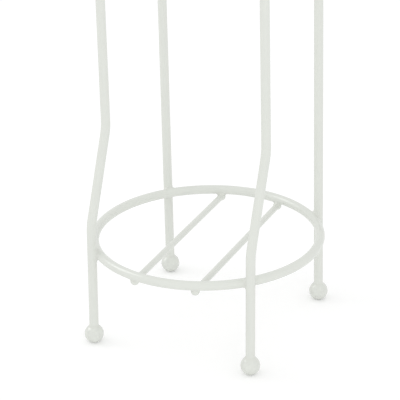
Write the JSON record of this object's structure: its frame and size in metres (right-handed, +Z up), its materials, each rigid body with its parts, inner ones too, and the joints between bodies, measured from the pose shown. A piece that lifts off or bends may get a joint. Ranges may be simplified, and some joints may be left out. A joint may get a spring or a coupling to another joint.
{
  "type": "toilet roll storage holder",
  "caption": "Free-standing coated wire tower that stores a stack of toilet rolls: bent and straight uprights on ball feet, a ring base with crossbars and a ring round the open top.",
  "frame": {"origin": "on the floor, under the middle of the whole outline", "axes": "+Z up; -Y to the front, where the bent uprights stand; +X to the right seen from the front"},
  "size_m": [0.1377, 0.148, 0.4891],
  "materials": {
    "wire_paint": "gloss off-white powder coat",
    "ball_paint": "gloss off-white powder coat",
    "weld_paint": "gloss off-white powder coat, thicker over the beads"
  },
  "bodies": {
    "root": {"upright_front_left": "wire_paint", "upright_front_right": "wire_paint", "upright_back_left": "wire_paint", "upright_back_right": "wire_paint", "foot_front_left": "ball_paint", "foot_front_right": "ball_paint", "foot_back_left": "ball_paint", "foot_back_right": "ball_paint", "base_ring": "wire_paint", "crossbar_left": "wire_paint", "crossbar_right": "wire_paint", "top_ring": "wire_paint", "finial_front_left": "ball_paint", "finial_front_right": "ball_paint", "finial_back_left": "ball_paint", "finial_back_right": "ball_paint", "base_ring_welds": "weld_paint", "crossbar_welds": "weld_paint", "top_ring_welds": "weld_paint", "foot_welds": "weld_paint", "finial_welds": "weld_paint"}
  },
  "joints": []
}
